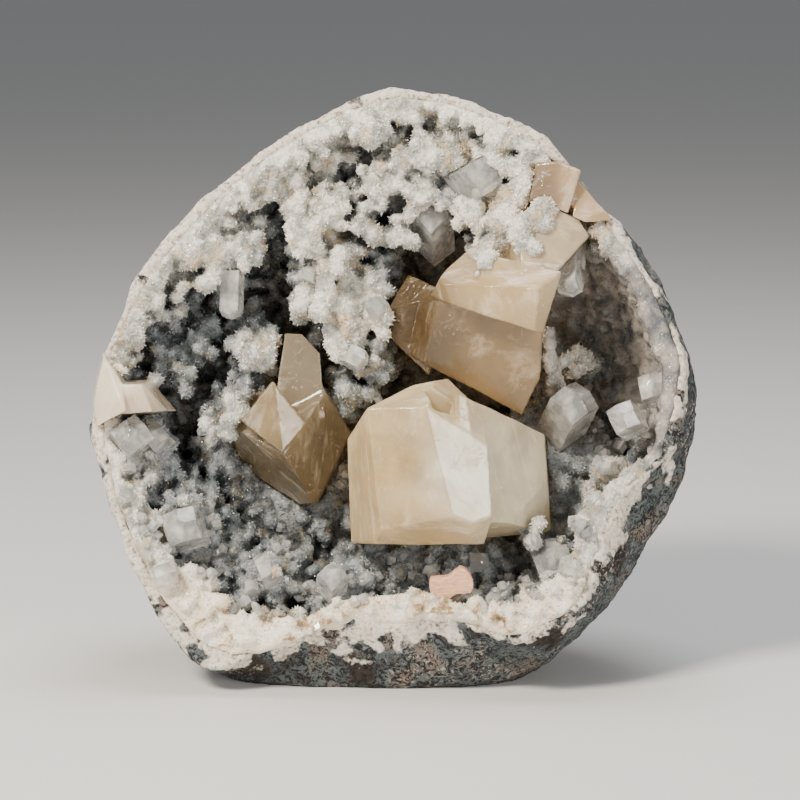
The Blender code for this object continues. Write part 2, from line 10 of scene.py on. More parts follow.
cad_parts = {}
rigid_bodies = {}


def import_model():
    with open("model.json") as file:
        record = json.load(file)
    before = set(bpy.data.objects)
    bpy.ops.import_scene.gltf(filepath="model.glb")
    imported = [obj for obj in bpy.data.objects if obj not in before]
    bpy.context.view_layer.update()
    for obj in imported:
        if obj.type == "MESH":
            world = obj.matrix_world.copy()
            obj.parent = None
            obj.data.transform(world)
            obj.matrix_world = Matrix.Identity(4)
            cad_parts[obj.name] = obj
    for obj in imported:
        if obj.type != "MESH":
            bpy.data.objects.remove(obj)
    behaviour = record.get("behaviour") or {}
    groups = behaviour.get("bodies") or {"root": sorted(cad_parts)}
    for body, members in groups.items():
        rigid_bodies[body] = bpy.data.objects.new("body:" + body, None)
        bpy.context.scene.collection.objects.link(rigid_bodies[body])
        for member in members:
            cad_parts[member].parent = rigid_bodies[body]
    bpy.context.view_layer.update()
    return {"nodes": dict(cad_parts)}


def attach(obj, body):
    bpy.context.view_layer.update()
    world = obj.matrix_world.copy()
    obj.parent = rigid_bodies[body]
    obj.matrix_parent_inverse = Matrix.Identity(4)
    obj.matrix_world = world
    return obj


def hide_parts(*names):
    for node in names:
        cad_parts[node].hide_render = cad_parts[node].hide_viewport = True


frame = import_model()
mm = 0.001


# small helpers
def linearColour(code, alpha=1.0):
    # sRGB hex to the linear colour that the shaders want
    channels = [int(code[i:i + 2], 16) / 255 for i in (1, 3, 5)]
    linear = [c / 12.92 if c <= 0.04045 else ((c + 0.055) / 1.055) ** 2.4 for c in channels]
    return (*linear, alpha)


def addNode(tree, kind, settings=None, links=None):
    # one node with its settings and incoming links; stops are a ramp's places and hex colours
    node = tree.nodes.new(kind)
    for name, value in (settings or {}).items():
        if name == "stops":
            ramp = node.color_ramp
            while len(ramp.elements) < len(value):
                ramp.elements.new(0.5)
            for element, (place, code) in zip(ramp.elements, value):
                element.position = place
                element.color = linearColour(code)
        elif isinstance(name, int) or name in node.inputs:
            node.inputs[name].default_value = value
        else:
            setattr(node, name, value)
    for name, source in (links or {}).items():
        tree.links.new(source, node.inputs[name])
    return node


def perMm(size):
    return 1000 / size  # a texture's scale for features of that size in mm


def newMaterial(name):
    material = bpy.data.materials.new(name)
    material.use_nodes = True
    material.node_tree.nodes.clear()
    return material, material.node_tree


def deselectAll():
    if bpy.context.object and bpy.context.object.mode != "OBJECT":
        bpy.ops.object.mode_set(mode="OBJECT")
    bpy.ops.object.select_all(action="DESELECT")


def makeActive(obj):
    deselectAll()
    obj.select_set(True)
    bpy.context.view_layer.objects.active = obj


def applyModifier(obj, kind, **settings):
    makeActive(obj)
    modifier = obj.modifiers.new(kind.title(), kind)
    for name, value in settings.items():
        setattr(modifier, name, value)
    bpy.ops.object.modifier_apply(modifier=modifier.name)


def copyNode(node, name):
    # a CAD node's mesh is loose triangles, so its copy is merged first
    source = frame["nodes"][node]
    obj = bpy.data.objects.new(name, source.data.copy())
    obj.data.name = name
    obj.data.materials.clear()
    bpy.context.scene.collection.objects.link(obj)
    makeActive(obj)
    bpy.ops.object.mode_set(mode="EDIT")
    bpy.ops.mesh.select_all(action="SELECT")
    bpy.ops.mesh.remove_doubles(threshold=0.00001)
    bpy.ops.object.mode_set(mode="OBJECT")
    return obj


def joinInto(obj, others):
    makeActive(obj)
    for other in others:
        other.select_set(True)
    bpy.ops.object.join()


def finishPiece(obj, material, replaced=()):
    obj.data.materials.clear()
    obj.data.materials.append(material)
    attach(obj, "root")
    if replaced:
        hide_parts(*replaced)


def roughen(obj, texture, height, group=""):
    applyModifier(
        obj, "DISPLACE", texture=texture, strength=height, mid_level=0.5,
        texture_coords="LOCAL", vertex_group=group,
    )


def cloudTexture(name, size, depth):
    texture = bpy.data.textures.new(name, "CLOUDS")
    texture.noise_scale = size
    texture.noise_depth = depth
    return texture


def triangleCount(obj):
    return sum(len(face.vertices) - 2 for face in obj.data.polygons)


# camera, light, floor
view = {
    "target": Vector((0.0029, 0, 0.1147)), "distance": 1.204, "elevation": 10, "lens": 130,
    "sensor": 36, "photoSide": 800,
}
rise = math.radians(view["elevation"])
cameraData = bpy.data.cameras.new("camera")
camera = bpy.data.objects.new("camera", cameraData)
bpy.context.scene.collection.objects.link(camera)
cameraData.lens = view["lens"]
cameraData.sensor_width = view["sensor"]
backwards = Vector((0, -math.cos(rise), math.sin(rise)))
camera.location = view["target"] + backwards * view["distance"]
camera.rotation_euler = (math.pi / 2 - rise, 0, 0)
bpy.context.scene.camera = camera

lamps = {
    # place, what it points at, side in m, watts, colour
    "keyLamp": ((-0.62, -0.72, 1.0), (0, 0, 0.12), 0.3, 29, "#FFF2E1"),
    "frontLamp": ((0.75, -1.05, 0.42), (0, 0, 0.12), 0.45, 8, "#FFFAF2"),
    "topLamp": ((0.15, 0.2, 1.15), (0, 0, 0.12), 0.6, 9, "#FFFFFF"),
    "sideLamp": ((-1.0, -0.45, 0.35), (0, 0, 0.12), 0.3, 2, "#FFFFFF"),
}
for name, (place, target, side, watts, tint) in lamps.items():
    lampData = bpy.data.lights.new(name, "AREA")
    lampData.size = side
    lampData.energy = watts
    lampData.color = linearColour(tint)[:3]
    lamp = bpy.data.objects.new(name, lampData)
    bpy.context.scene.collection.objects.link(lamp)
    lamp.location = place
    lamp.rotation_euler = (Vector(target) - Vector(place)).to_track_quat("-Z", "Y").to_euler()

studio = {"sky": "#D6D8DA", "skyStrength": 0.33, "paper": "#DADADA", "floorSide": 40}
world = bpy.data.worlds.new("studio")
bpy.context.scene.world = world
world.use_nodes = True
sky = world.node_tree.nodes["Background"]
sky.inputs["Color"].default_value = linearColour(studio["sky"])
sky.inputs["Strength"].default_value = studio["skyStrength"]

deselectAll()
bpy.ops.mesh.primitive_plane_add(size=studio["floorSide"], location=(0, 0, 0))
floor = bpy.context.object
floor.name = "floor"
# Seamless paper: matt and pale, with only a soft sheen.
paper, tree = newMaterial("seamlessPaper")
shader = addNode(tree, "ShaderNodeBsdfPrincipled", {
    "Base Color": linearColour(studio["paper"]), "Roughness": 0.7,
})
addNode(tree, "ShaderNodeOutputMaterial", {}, {"Surface": shader.outputs[0]})
floor.data.materials.append(paper)
print("camera, lamps and floor are in place")


# where the broken mouth lies
mouth = {"y": -22 * mm, "leanX": -0.10, "leanZ": 0.27, "middleZ": 118 * mm}


def behindMouth(points):
    # how far each point lies behind the broken mouth, in metres
    plane = mouth["y"] + mouth["leanX"] * points[:, 0]
    plane += mouth["leanZ"] * (points[:, 2] - mouth["middleZ"])
    return points[:, 1] - plane


def vertexPlaces(obj):
    flat = np.zeros(len(obj.data.vertices) * 3, np.float32)
    obj.data.vertices.foreach_get("co", flat)
    return flat.reshape(-1, 3).astype(float)


def ramp(values, start, length):
    # 0 up to start and 1 beyond the length, or the other way round where that is negative
    return np.clip((values - start) / length, 0, 1)


# in mm: where each fade starts and how long it is
bareWall = {
    "fromX": (60, 8), "fromZ": (92, 10), "belowZ": (180, -8),
    "patchMiddle": (75, 22, 130), "aroundPatch": (16, 8),
}
creamRim = {"belowZ": (55, -15), "nearMouth": (8, -5)}
# in mm: the pale band's width, and what is added high up and taken off at the bare wall
paleBand = {"width": 3, "fromZ": (40, 70), "addedHighUp": 4, "lessAtBareWall": 7}


def bareness(places):
    # 1 on the right wall, which is bare of druse crystals but for one patch, and 0 elsewhere
    x, z = places[:, 0] * 1000, places[:, 2] * 1000
    fromPatch = np.linalg.norm(places * 1000 - bareWall["patchMiddle"], axis=1)
    share = ramp(x, *bareWall["fromX"]) * ramp(z, *bareWall["fromZ"])
    return share * ramp(z, *bareWall["belowZ"]) * ramp(fromPatch, *bareWall["aroundPatch"])


def creaminess(places):
    # 1 on the broken rim at the bottom, which is stained cream
    z, depth = places[:, 2] * 1000, behindMouth(places) * 1000
    return ramp(z, *creamRim["belowZ"]) * ramp(depth, *creamRim["nearMouth"])


def paint(obj, name, values):
    layer = obj.data.attributes.new(name, "FLOAT", "POINT")
    layer.data.foreach_set("value", np.asarray(values, np.float32))


def paintRim(obj):
    # mm behind the edge of the pale band round the mouth, which is wider up the sides and
    # narrow along the bare wall
    places = vertexPlaces(obj)
    low, run = paleBand["fromZ"]
    wide = paleBand["width"] + ramp(places[:, 2], low * mm, run * mm) * paleBand["addedHighUp"]
    wide -= bareness(places) * paleBand["lessAtBareWall"]
    paint(obj, "behindRim", behindMouth(places) * 1000 - wide)


# rays that feel for what is near, the turn in radians from one to the next, and how far off
# the surface they start, in mm
feelers = {"count": 10, "turn": 2.4, "lift": 0.3}


def openness(tree, spots, normals, reach):
    # the share of directions in which nothing is near: low down between two lumps. The druse
    # material darkens by it, as painted shade
    count, ways = feelers["count"], []
    for index in range(count):
        wide, turn = math.sqrt((index + 0.5) / count), index * feelers["turn"]
        ways.append((wide * math.cos(turn), wide * math.sin(turn), math.sqrt(1 - wide * wide)))
    shares = []
    for spot, normal in zip(spots, normals):
        normal = Vector(normal)
        start = Vector(spot) + normal * feelers["lift"] * mm
        across = normal.orthogonal().normalized()
        up = normal.cross(across)
        free = sum(
            tree.ray_cast(start, across * a + up * b + normal * c, reach)[0] is None
            for a, b, c in ways
        )
        shares.append(free / count)
    return shares


# materials
def druseMaterial(name, stops, roughness, glow):
    # Chalcedony and quartz druse: sugary, white where it is thick and, as painted light, near the
    # mouth; blue-grey in the depth, partly its own colour and partly painted shade; painted shade
    # low down between the lumps; and a little light passes through it.
    material, tree = newMaterial(name)
    depth = addNode(tree, "ShaderNodeAttribute", {"attribute_name": "behindMouth"})
    place = addNode(tree, "ShaderNodeTexCoord")
    patches = addNode(
        tree, "ShaderNodeTexNoise", {"Scale": perMm(14), "Detail": 4},
        {"Vector": place.outputs["Object"]},
    )
    shift = addNode(
        tree, "ShaderNodeMath", {"operation": "MULTIPLY_ADD", 1: 24.0, 2: -12.0},
        {0: patches.outputs["Fac"]},
    )
    shifted = addNode(
        tree, "ShaderNodeMath", {"operation": "ADD"},
        {0: depth.outputs["Fac"], 1: shift.outputs[0]},
    )
    share = addNode(
        tree, "ShaderNodeMapRange", {"From Min": 0.0, "From Max": 60.0},
        {"Value": shifted.outputs[0]},
    )
    # colour by depth: partly the druse's own colour, partly painted shade deeper in the hollow
    colour = addNode(tree, "ShaderNodeValToRGB", {"stops": stops}, {"Fac": share.outputs[0]})
    # the druse's crystals are 0.3 to 1 mm, drawn at 1.2 mm so that they show
    grains = addNode(
        tree, "ShaderNodeTexVoronoi", {"Scale": perMm(1.2)}, {"Vector": place.outputs["Object"]},
    )
    tone = addNode(tree, "ShaderNodeSeparateColor", {}, {"Color": grains.outputs["Color"]})
    # each grain a little lighter or darker: random tone, and painted glints where grains seem to
    # catch the light
    grainToneAndGlint = addNode(
        tree, "ShaderNodeMapRange", {"To Min": 0.78, "To Max": 1.12}, {"Value": tone.outputs[0]},
    )
    sugar = addNode(
        tree, "ShaderNodeHueSaturation", {},
        {"Color": colour.outputs["Color"], "Value": grainToneAndGlint.outputs[0]},
    )
    stains = addNode(
        tree, "ShaderNodeTexNoise", {"Scale": perMm(9), "Detail": 3, "Distortion": 0.6},
        {"Vector": place.outputs["Object"]},
    )
    stain = addNode(tree, "ShaderNodeValToRGB", {"stops": (
        (0.36, "#CDBDA4"), (0.44, "#AAB3B8"), (0.56, "#FFFFFF"),
    )}, {"Fac": stains.outputs["Fac"]})
    stained = addNode(
        tree, "ShaderNodeMix", {"data_type": "RGBA", "blend_type": "MULTIPLY", 0: 0.8},
        {6: sugar.outputs["Color"], 7: stain.outputs["Color"]},
    )
    # along the bottom rim it is stained cream
    warm = addNode(tree, "ShaderNodeAttribute", {"attribute_name": "cream"})
    creamColour = addNode(tree, "ShaderNodeValToRGB", {"stops": (
        (0.34, "#A98F6B"), (0.4, "#EADBC2"), (0.6, "#F6EEDF"),
    )}, {"Fac": stains.outputs["Fac"]})
    creamed = addNode(
        tree, "ShaderNodeMix", {"data_type": "RGBA"},
        {0: warm.outputs["Fac"], 6: stained.outputs[2], 7: creamColour.outputs["Color"]},
    )
    # the right wall is bare chalcedony, brownish grey
    bare = addNode(tree, "ShaderNodeAttribute", {"attribute_name": "bare"})
    bareColour = addNode(tree, "ShaderNodeValToRGB", {"stops": (
        (0.34, "#5C5E63"), (0.48, "#8D8883"), (0.62, "#B0A9A2"),
    )}, {"Fac": stains.outputs["Fac"]})
    chosen = addNode(
        tree, "ShaderNodeMix", {"data_type": "RGBA"},
        {0: bare.outputs["Fac"], 6: creamed.outputs[2], 7: bareColour.outputs["Color"]},
    )
    # painted shade: the colour is darkened low down between the lumps, where little is open
    free = addNode(tree, "ShaderNodeAttribute", {"attribute_name": "openness"})
    paintedRecessShade = addNode(tree, "ShaderNodeValToRGB", {"stops": (
        (0.1, "#74787B"), (0.5, "#BBBEBF"), (0.85, "#FFFFFF"),
    )}, {"Fac": free.outputs["Fac"]})
    shaded = addNode(
        tree, "ShaderNodeMix", {"data_type": "RGBA", "blend_type": "MULTIPLY", 0: 1.0},
        {6: chosen.outputs[2], 7: paintedRecessShade.outputs["Color"]},
    )
    glint = addNode(
        tree, "ShaderNodeMapRange", {"To Min": roughness * 0.4, "To Max": roughness * 1.6},
        {"Value": tone.outputs[1]},
    )
    bump = addNode(
        tree, "ShaderNodeBump", {"Strength": 0.7, "Distance": 0.5 * mm, "invert": True},
        {"Height": grains.outputs["Distance"]},
    )
    shader = addNode(tree, "ShaderNodeBsdfPrincipled", {
        "IOR": 1.54, "Subsurface Weight": glow,
        "Subsurface Radius": (1.0, 1.0, 1.1), "Subsurface Scale": 1.6 * mm,
    }, {
        "Base Color": shaded.outputs[2], "Roughness": glint.outputs[0], "Normal": bump.outputs[0],
    })
    addNode(tree, "ShaderNodeOutputMaterial", {}, {"Surface": shader.outputs[0]})
    return material


# colours by depth, from pale near the mouth to blue-grey deep in: partly the chalcedony's own
# colour and partly painted shade of the hollow
druseWallMaterial = druseMaterial("chalcedonyCrust", (
    (0.0, "#E4DED2"), (0.14, "#CBC9C3"), (0.3, "#979D9F"), (0.53, "#858C8F"), (1.0, "#8F8C87"),
), 0.3, 0.08)
drusePointMaterial = druseMaterial("quartzDruse", (
    (0.0, "#FFF9ED"), (0.14, "#F2ECE2"), (0.3, "#BEC0BE"), (0.53, "#9BA1A3"), (1.0, "#9C9994"),
), 0.15, 0.08)


def rockMaterial():
    # Weathered basalt: rough, green-grey and brown, with pinkish-white specks, a net of dark
    # cracks and pits, and a cream band of zeolite along the broken rim.
    material, tree = newMaterial("weatheredBasalt")
    place = addNode(tree, "ShaderNodeTexCoord")
    where = place.outputs["Object"]
    broad = addNode(
        tree, "ShaderNodeTexNoise", {"Scale": perMm(20), "Detail": 5}, {"Vector": where},
    )
    base = addNode(tree, "ShaderNodeValToRGB", {"stops": (
        (0.38, "#322823"), (0.46, "#4E5658"), (0.52, "#5B6362"), (0.62, "#786C63"),
    )}, {"Fac": broad.outputs["Fac"]})
    fine = addNode(
        tree, "ShaderNodeTexNoise", {"Scale": perMm(1.8), "Detail": 5, "Roughness": 0.65},
        {"Vector": where},
    )
    specks = addNode(tree, "ShaderNodeValToRGB", {"stops": (
        (0.52, "#000000"), (0.58, "#F0F0F0"),
    )}, {"Fac": fine.outputs["Fac"]})
    strewn = addNode(
        tree, "ShaderNodeTexNoise", {"Scale": perMm(16), "Detail": 2}, {"Vector": where},
    )
    some = addNode(
        tree, "ShaderNodeMapRange", {"From Min": 0.45, "From Max": 0.6},
        {"Value": strewn.outputs["Fac"]},
    )
    shown = addNode(
        tree, "ShaderNodeMath", {"operation": "MULTIPLY"},
        {0: specks.outputs["Color"], 1: some.outputs[0]},
    )
    speckled = addNode(
        tree, "ShaderNodeMix", {"data_type": "RGBA", 7: linearColour("#ADA39B")},
        {0: shown.outputs[0], 6: base.outputs["Color"]},
    )
    cracks = addNode(tree, "ShaderNodeTexNoise", {
        "Scale": perMm(3.6), "Detail": 8, "Roughness": 0.72, "Distortion": 2.0,
    }, {"Vector": where})
    pits = addNode(tree, "ShaderNodeValToRGB", {"stops": (
        (0.46, "#1A1410"), (0.52, "#FFFFFF"),
    )}, {"Fac": cracks.outputs["Fac"]})
    pitted = addNode(
        tree, "ShaderNodeMix", {"data_type": "RGBA", "blend_type": "MULTIPLY", 0: 0.95},
        {6: speckled.outputs[2], 7: pits.outputs["Color"]},
    )
    depth = addNode(tree, "ShaderNodeAttribute", {"attribute_name": "behindRim"})
    wavy = addNode(
        tree, "ShaderNodeTexNoise", {"Scale": perMm(11), "Detail": 4}, {"Vector": where},
    )
    shift = addNode(
        tree, "ShaderNodeMath", {"operation": "MULTIPLY_ADD", 1: 44.0, 2: -22.0},
        {0: wavy.outputs["Fac"]},
    )
    shifted = addNode(
        tree, "ShaderNodeMath", {"operation": "ADD"},
        {0: depth.outputs["Fac"], 1: shift.outputs[0]},
    )
    band = addNode(
        tree, "ShaderNodeMapRange", {"From Min": -1.0, "From Max": 1.0, "To Min": 1, "To Max": 0},
        {"Value": shifted.outputs[0]},
    )
    cream = addNode(tree, "ShaderNodeValToRGB", {"stops": (
        (0.34, "#7D7060"), (0.44, "#CBBFAD"), (0.6, "#E6E1D8"),
    )}, {"Fac": fine.outputs["Fac"]})
    banded = addNode(
        tree, "ShaderNodeMix", {"data_type": "RGBA"},
        {0: band.outputs[0], 6: pitted.outputs[2], 7: cream.outputs["Color"]},
    )
    height = addNode(
        tree, "ShaderNodeMath", {"operation": "ADD"},
        {0: fine.outputs["Fac"], 1: cracks.outputs["Fac"]},
    )
    bump = addNode(
        tree, "ShaderNodeBump", {"Strength": 0.6, "Distance": 1.0 * mm},
        {"Height": height.outputs[0]},
    )
    shader = addNode(
        tree, "ShaderNodeBsdfPrincipled", {"Roughness": 0.85, "IOR": 1.5},
        {"Base Color": banded.outputs[2], "Normal": bump.outputs[0]},
    )
    addNode(tree, "ShaderNodeOutputMaterial", {}, {"Surface": shader.outputs[0]})
    return material


def calciteMaterial(name, haze):
    # Calcite: honey to cream, cloudy inside, with paler veils, straight cleavage lines, a few
    # fine cracks and patches of painted white glints, and satin to glassy faces. Its colour and
    # how clear it is change from block to block, in the attribute "tint", which holds each block's
    # own colour together with painted light, paler or darker face by face as the faces are lit.
    # haze is its light scattering.
    material, tree = newMaterial(name)
    place = addNode(tree, "ShaderNodeTexCoord")
    where = place.outputs["Object"]
    clouds = addNode(
        tree, "ShaderNodeTexNoise", {"Scale": perMm(20), "Detail": 6, "Distortion": 0.8},
        {"Vector": where},
    )
    tint = addNode(tree, "ShaderNodeAttribute", {"attribute_name": "tint"})
    shade = addNode(
        tree, "ShaderNodeMapRange",
        {"From Min": 0.34, "From Max": 0.64, "To Min": 0.8, "To Max": 1.1},
        {"Value": clouds.outputs["Fac"]},
    )
    body = addNode(
        tree, "ShaderNodeHueSaturation", {},
        {"Color": tint.outputs["Color"], "Value": shade.outputs[0]},
    )
    turned = addNode(tree, "ShaderNodeMapping", {
        "Rotation": (0.5, 0.35, 0.9), "Scale": (1, 6, 1),
    }, {"Vector": where})
    lines = addNode(
        tree, "ShaderNodeTexNoise", {"Scale": perMm(24), "Detail": 7, "Roughness": 0.72},
        {"Vector": turned.outputs[0]},
    )
    cleavage = addNode(tree, "ShaderNodeMapRange", {
        "From Min": 0.52, "From Max": 0.75, "To Max": 0.75,
    }, {"Value": lines.outputs["Fac"]})
    bent = addNode(
        tree, "ShaderNodeMix", {"data_type": "VECTOR", 0: 0.006},
        {4: where, 5: clouds.outputs["Color"]},
    )
    cracks = addNode(
        tree, "ShaderNodeTexVoronoi", {"feature": "DISTANCE_TO_EDGE", "Scale": perMm(17)},
        {"Vector": bent.outputs[1]},
    )
    crack = addNode(tree, "ShaderNodeMapRange", {
        "From Min": 0.0, "From Max": 0.012, "To Min": 0.3, "To Max": 0,
    }, {"Value": cracks.outputs["Distance"]})
    patches = addNode(
        tree, "ShaderNodeTexNoise", {"Scale": perMm(15), "Detail": 2}, {"Vector": where},
    )
    some = addNode(
        tree, "ShaderNodeMapRange", {"From Min": 0.52, "From Max": 0.6},
        {"Value": patches.outputs["Fac"]},
    )
    shownCrack = addNode(
        tree, "ShaderNodeMath", {"operation": "MULTIPLY"},
        {0: crack.outputs[0], 1: some.outputs[0]},
    )
    # painted glints: fine specks whitened in the colour, standing for sparkles
    specks = addNode(
        tree, "ShaderNodeTexNoise", {"Scale": perMm(1.4), "Detail": 3}, {"Vector": where},
    )
    paintedGlint = addNode(tree, "ShaderNodeMapRange", {
        "From Min": 0.6, "From Max": 0.7, "To Max": 0.45,
    }, {"Value": specks.outputs["Fac"]})
    shownPaintedGlint = addNode(
        tree, "ShaderNodeMath", {"operation": "MULTIPLY"},
        {0: paintedGlint.outputs[0], 1: some.outputs[0]},
    )
    cracksAndGlints = addNode(
        tree, "ShaderNodeMath", {"operation": "MAXIMUM"},
        {0: shownCrack.outputs[0], 1: shownPaintedGlint.outputs[0]},
    )
    white = addNode(
        tree, "ShaderNodeMath", {"operation": "MAXIMUM"},
        {0: cracksAndGlints.outputs[0], 1: cleavage.outputs[0]},
    )
    veined = addNode(
        tree, "ShaderNodeMix", {"data_type": "RGBA", 7: linearColour("#F9EFDD")},
        {0: white.outputs[0], 6: body.outputs["Color"]},
    )
    dull = addNode(
        tree, "ShaderNodeMapRange", {"To Min": 1.0, "To Max": 0.3}, {"Value": white.outputs[0]},
    )
    seen = addNode(
        tree, "ShaderNodeMath", {"operation": "MULTIPLY"},
        {0: dull.outputs[0], 1: tint.outputs["Alpha"]},
    )
    wear = addNode(
        tree, "ShaderNodeTexNoise", {"Scale": perMm(6), "Detail": 6}, {"Vector": where},
    )
    gloss = addNode(
        tree, "ShaderNodeMapRange",
        {"From Min": 0.35, "From Max": 0.7, "To Min": 0.03, "To Max": 0.28},
        {"Value": wear.outputs["Fac"]},
    )
    height = addNode(
        tree, "ShaderNodeMath", {"operation": "MULTIPLY_ADD", 1: 0.6},
        {0: lines.outputs["Fac"], 2: wear.outputs["Fac"]},
    )
    cut = addNode(
        tree, "ShaderNodeMath", {"operation": "SUBTRACT"},
        {0: height.outputs[0], 1: cracksAndGlints.outputs[0]},
    )
    bump = addNode(
        tree, "ShaderNodeBump", {"Strength": 0.3, "Distance": 0.6 * mm},
        {"Height": cut.outputs[0]},
    )
    shader = addNode(tree, "ShaderNodeBsdfPrincipled", {
        "IOR": 1.6, "Subsurface Weight": haze, "Subsurface Radius": (1.0, 0.8, 0.5),
        "Subsurface Scale": 6 * mm,
    }, {
        "Base Color": veined.outputs[2], "Roughness": gloss.outputs[0],
        "Transmission Weight": seen.outputs[0], "Normal": bump.outputs[0],
    })
    addNode(tree, "ShaderNodeOutputMaterial", {}, {"Surface": shader.outputs[0]})
    return material


def apophylliteMaterial(name, milk, clear):
    # Apophyllite: colourless and glassy, milky in patches.
    material, tree = newMaterial(name)
    place = addNode(tree, "ShaderNodeTexCoord")
    clouds = addNode(
        tree, "ShaderNodeTexNoise", {"Scale": perMm(7), "Detail": 4},
        {"Vector": place.outputs["Object"]},
    )
    body = addNode(tree, "ShaderNodeValToRGB", {"stops": (
        (0.35, "#EFF2F2"), (0.65, milk),
    )}, {"Fac": clouds.outputs["Fac"]})
    share = addNode(
        tree, "ShaderNodeMapRange",
        {"From Min": 0.45, "From Max": 0.7, "To Min": clear, "To Max": clear * 0.6},
        {"Value": clouds.outputs["Fac"]},
    )
    bump = addNode(
        tree, "ShaderNodeBump", {"Strength": 0.1, "Distance": 0.3 * mm},
        {"Height": clouds.outputs["Fac"]},
    )
    shader = addNode(tree, "ShaderNodeBsdfPrincipled", {
        "IOR": 1.535, "Roughness": 0.02, "Subsurface Weight": 0.15,
        "Subsurface Radius": (1.0, 1.0, 1.0), "Subsurface Scale": 3 * mm,
    }, {
        "Base Color": body.outputs["Color"], "Transmission Weight": share.outputs[0],
        "Normal": bump.outputs[0],
    })
    addNode(tree, "ShaderNodeOutputMaterial", {}, {"Surface": shader.outputs[0]})
    return material


def stilbiteMaterial():
    # Stilbite: salmon pink, pearly, with fine grooves along the blades.
    material, tree = newMaterial("pearlyStilbite")
    place = addNode(tree, "ShaderNodeTexCoord")
    along = addNode(
        tree, "ShaderNodeMapping", {"Scale": (1, 1, 6)}, {"Vector": place.outputs["Object"]},
    )
    grooves = addNode(
        tree, "ShaderNodeTexNoise", {"Scale": perMm(3), "Detail": 4}, {"Vector": along.outputs[0]},
    )
    body = addNode(tree, "ShaderNodeValToRGB", {"stops": (
        (0.35, "#D69B78"), (0.65, "#EBC3A6"),
    )}, {"Fac": grooves.outputs["Fac"]})
    bump = addNode(
        tree, "ShaderNodeBump", {"Strength": 0.3, "Distance": 0.3 * mm},
        {"Height": grooves.outputs["Fac"]},
    )
    shader = addNode(tree, "ShaderNodeBsdfPrincipled", {
        "Roughness": 0.35, "Subsurface Weight": 0.4, "Subsurface Radius": (1.0, 0.6, 0.4),
        "Subsurface Scale": 2 * mm,
    }, {"Base Color": body.outputs["Color"], "Normal": bump.outputs[0]})
    addNode(tree, "ShaderNodeOutputMaterial", {}, {"Surface": shader.outputs[0]})
    return material


basalt = rockMaterial()
creamCalcite = calciteMaterial("creamCalcite", 0.5)
amberCalcite = calciteMaterial("amberCalcite", 0.3)
clearApophyllite = apophylliteMaterial("clearApophyllite", "#FFFCF5", 0.78)
milkyApophyllite = apophylliteMaterial("milkyApophyllite", "#FDFAF3", 0.75)
stilbite = stilbiteMaterial()
print("materials are made")


# rock
rock = {
    "voxel": 1.9 * mm,
    "bumps": (14 * mm, 2.6 * mm), "grain": (2.6 * mm, 1.1 * mm),  # size and height of each
    "flatFoot": 0.6 * mm, "fade": 8,  # up to where it stays flat, and in mm how soon it is rough
}
rockBody = copyNode("rock_shell", "rockBody")
applyModifier(rockBody, "REMESH", mode="VOXEL", voxel_size=rock["voxel"])
lifted = rockBody.vertex_groups.new(name="lifted")
heights = vertexPlaces(rockBody)[:, 2]
for share in (0.25, 0.5, 0.75, 1.0):
    low = (share - 0.25) * rock["fade"] * mm + rock["flatFoot"]
    high = share * rock["fade"] * mm + rock["flatFoot"]
    inside = (heights > low) & ((heights <= high) | (share == 1.0))
    lifted.add(np.flatnonzero(inside).tolist(), share, "REPLACE")
size, height = rock["bumps"]
roughen(rockBody, cloudTexture("rockBumps", size, 3), height, group="lifted")
size, height = rock["grain"]
roughen(rockBody, cloudTexture("rockGrain", size, 1), height, group="lifted")
rockBody.vertex_groups.clear()
makeActive(rockBody)
bpy.ops.object.shade_smooth()
paintRim(rockBody)
finishPiece(rockBody, basalt, ["rock_shell"])
print("rock body:", triangleCount(rockBody), "triangles")


# models that are copied often: a lump of radius 1, and a point and a prism that are 1 wide
models = {
    "lumpDetail": 2, "pointSides": 5, "pointLength": 1.2, "pointLift": 0.35,
    "prismLength": 1.5, "prismTip": 0.8, "prismSlope": 1.45,
}


def smallModel(name, build):
    deselectAll()
    build()
    obj = bpy.context.object
    obj.name = name
    bpy.ops.object.transform_apply(location=True, rotation=True, scale=True)
    return obj


def lumpModel():
    bpy.ops.mesh.primitive_ico_sphere_add(subdivisions=models["lumpDetail"], radius=1)


def pointModel():
    bpy.ops.mesh.primitive_cone_add(
        vertices=models["pointSides"], radius1=0.5, radius2=0, depth=models["pointLength"],
    )
    bpy.ops.object.mode_set(mode="EDIT")
    bpy.ops.transform.translate(value=(0, 0, models["pointLift"]))
    bpy.ops.object.mode_set(mode="OBJECT")


def prismModel():
    # a square prism with a four-sided point over its edges
    bpy.ops.mesh.primitive_cube_add(size=1)
    bpy.ops.object.mode_set(mode="EDIT")
    bpy.ops.transform.resize(value=(1, 1, models["prismLength"]))
    for quarter in range(4):
        turn = math.pi / 4 + math.pi / 2 * quarter
        bpy.ops.mesh.select_all(action="SELECT")
        bpy.ops.mesh.bisect(
            plane_co=(0, 0, models["prismTip"]),
            plane_no=(math.cos(turn), math.sin(turn), models["prismSlope"]),
            use_fill=True, clear_outer=True,
        )
    bpy.ops.object.mode_set(mode="OBJECT")


lumpShape = smallModel("lumpShape", lumpModel)
pointShape = smallModel("pointShape", pointModel)
prismShape = smallModel("prismShape", prismModel)


def stampCopies(name, model, places):
    # many copies of one model as one mesh: places are 4x4 matrices
    corners = np.array([v.co[:] for v in model.data.vertices])
    faces = [tuple(p.vertices) for p in model.data.polygons]
    grid = np.array([np.array(m) for m in places])
    points = np.einsum("nij,vj->nvi", grid[:, :3, :3], corners) + grid[:, None, :3, 3]
    count = len(corners)
    mesh = bpy.data.meshes.new(name)
    allFaces = [
        tuple(index + copy * count for index in face)
        for copy in range(len(places)) for face in faces
    ]
    mesh.from_pydata(points.reshape(-1, 3).tolist(), [], allFaces)
    mesh.update()
    obj = bpy.data.objects.new(name, mesh)
    bpy.context.scene.collection.objects.link(obj)
    return obj


